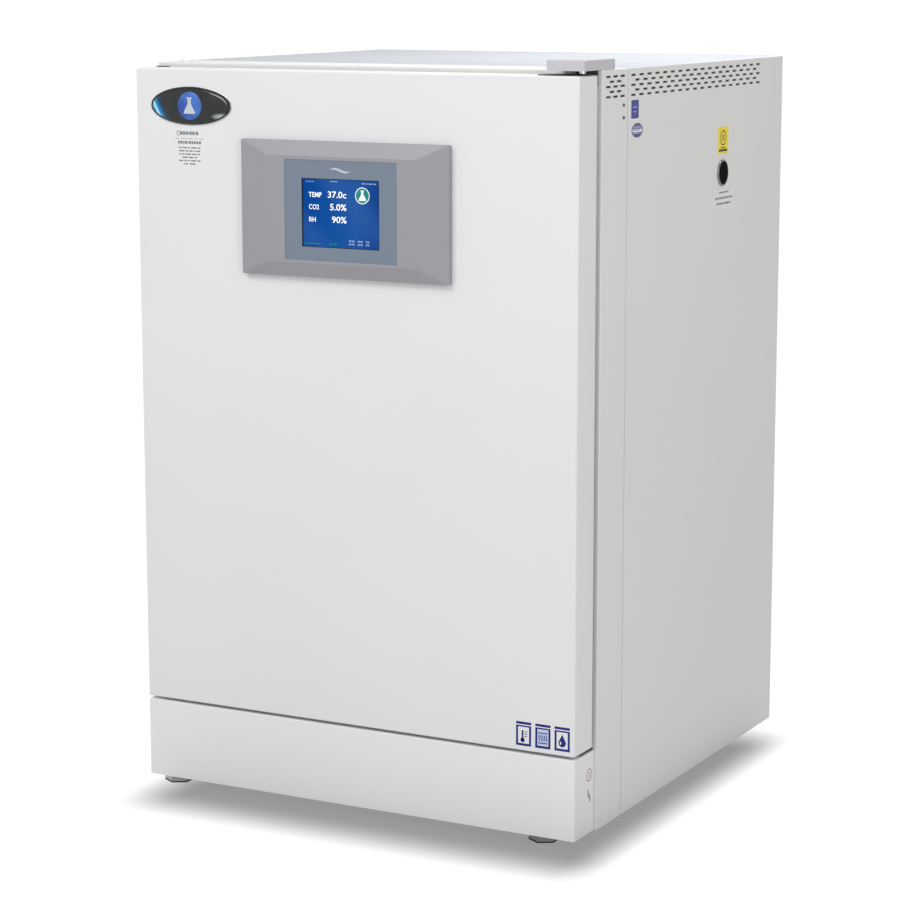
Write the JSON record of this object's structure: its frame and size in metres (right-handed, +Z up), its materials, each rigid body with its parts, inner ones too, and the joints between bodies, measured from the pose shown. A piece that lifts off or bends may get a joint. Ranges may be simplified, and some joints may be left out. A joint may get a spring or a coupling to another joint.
{
  "type": "laboratory incubator",
  "caption": "Bench-top CO2 incubator: insulated cabinet with a hinged outer door and touch display, inner glass door, stainless chamber with shelves, humidity pan and blower.",
  "frame": {"origin": "on the floor under the middle of the overall bounding box", "axes": "+X to the right as the user faces the door, +Y to the back, +Z up"},
  "size_m": [0.664, 0.706, 1.0055],
  "materials": {
    "white_paint": "semi-gloss powder coat, door and kick panel",
    "side_paint": "semi-gloss powder coat, cabinet",
    "stainless": "satin stainless steel",
    "zinc_steel": "zinc plated steel",
    "bright_metal": "polished",
    "foam": "rigid insulation",
    "gasket": "matt black rubber",
    "silicone": "grey silicone rubber",
    "bezel_plastic": "fine texture grey plastic",
    "cap_plastic": "light grey plastic",
    "overlay_film": "blue-grey printed film",
    "screen_glass": "dark glossy display",
    "black_plastic": "black moulded plastic",
    "white_plastic": "white moulded plastic",
    "badge": "black glossy badge with a metal rim",
    "glass": "clear tempered glass",
    "filter_media": "pleated filter paper",
    "pcb": "green circuit board",
    "brass": "machined brass"
  },
  "bodies": {
    "cabinet": {"base_pan": "zinc_steel", "kick_panel": "white_paint", "front_frame": "side_paint", "side_panel_right": "side_paint", "side_panel_left": "side_paint", "top_panel": "side_paint", "rear_panel": "side_paint", "base_divider": "zinc_steel", "chamber_liner": "stainless", "insulation_jacket": "foam", "shelf_rack_left": "stainless", "shelf_rack_right": "stainless", "shelf_1": "stainless", "shelf_2": "stainless", "shelf_3": "stainless", "shelf_4": "stainless", "humidity_pan": "stainless", "air_duct_cover": "stainless", "hepa_filter": "filter_media", "blower_motor": "zinc_steel", "sensor_module": "white_plastic", "access_port_tube": "white_plastic", "access_port_ring": "bright_metal", "hinge_bracket_top": "zinc_steel", "hinge_cap_top": "cap_plastic", "hinge_bracket_bottom": "zinc_steel", "hinge_pins": "bright_metal", "inner_gasket": "silicone", "inner_hinge_brackets": "stainless", "inner_hinge_pins": "bright_metal", "latch_keeper": "stainless", "power_supply": "zinc_steel", "control_board": "pcb", "gas_solenoid_valve": "brass", "gas_filter": "white_plastic", "power_inlet": "black_plastic", "co2_inlet_fitting": "brass", "panel_screws": "bright_metal"},
    "outer_door": {"door_shell": "white_paint", "door_liner": "stainless", "door_insulation": "foam", "door_gasket": "gasket", "door_hinge_bushes": "white_plastic", "display_bezel": "bezel_plastic", "display_overlay": "overlay_film", "touch_screen": "screen_glass", "display_module": "black_plastic", "badge_plate": "badge"},
    "inner_door": {"inner_glass": "glass", "inner_hinge_leaves": "stainless", "inner_latch_base": "stainless"},
    "inner_latch": {"inner_latch_knob": "black_plastic"},
    "power_switch": {"power_rocker": "black_plastic"},
    "port_plug": {"port_stopper": "gasket"},
    "blower_rotor": {"blower_wheel": "zinc_steel"},
    "foot_fl": {"foot_front_left": "bright_metal"},
    "foot_fr": {"foot_front_right": "bright_metal"},
    "foot_rl": {"foot_rear_left": "bright_metal"},
    "foot_rr": {"foot_rear_right": "bright_metal"}
  },
  "joints": [
    {"name": "outer_door_hinge", "type": "hinge", "parent": "cabinet", "child": "outer_door", "pos_m": [0.316, -0.3075, 0.555], "axis": [0, 0, 1], "range_deg": [0, 110]},
    {"name": "inner_door_hinge", "type": "hinge", "parent": "cabinet", "child": "inner_door", "pos_m": [0.291, -0.2715, 0.522], "axis": [0, 0, 1], "range_deg": [0, 90]},
    {"name": "inner_latch_turn", "type": "hinge", "parent": "inner_door", "child": "inner_latch", "pos_m": [-0.268, -0.2815, 0.545], "axis": [0, -1, 0], "range_deg": [0, 90]},
    {"name": "power_switch_rock", "type": "hinge", "parent": "cabinet", "child": "power_switch", "pos_m": [-0.168, 0.3285, 0.072], "axis": [-1, 0, 0], "range_deg": [0, 16]},
    {"name": "port_plug_pull", "type": "slide", "parent": "cabinet", "child": "port_plug", "axis": [1, 0, 0], "range_m": [0, 0.06]},
    {"name": "blower_spin", "type": "hinge", "parent": "cabinet", "child": "blower_rotor", "pos_m": [0, 0.1025, 0.83], "axis": [0, 0, 1], "continuous": true},
    {"name": "foot_fl_turn", "type": "hinge", "parent": "cabinet", "child": "foot_fl", "pos_m": [-0.3, -0.3035, 0.008], "axis": [0, 0, 1], "continuous": true},
    {"name": "foot_fr_turn", "type": "hinge", "parent": "cabinet", "child": "foot_fr", "pos_m": [0.267, -0.3035, 0.008], "axis": [0, 0, 1], "continuous": true},
    {"name": "foot_rl_turn", "type": "hinge", "parent": "cabinet", "child": "foot_rl", "pos_m": [-0.29, 0.2825, 0.008], "axis": [0, 0, 1], "continuous": true},
    {"name": "foot_rr_turn", "type": "hinge", "parent": "cabinet", "child": "foot_rr", "pos_m": [0.29, 0.2825, 0.008], "axis": [0, 0, 1], "continuous": true}
  ],
  "couplings": [
    {"joint": "inner_door_hinge", "follows": "outer_door_hinge", "ratio": 0.8}
  ]
}
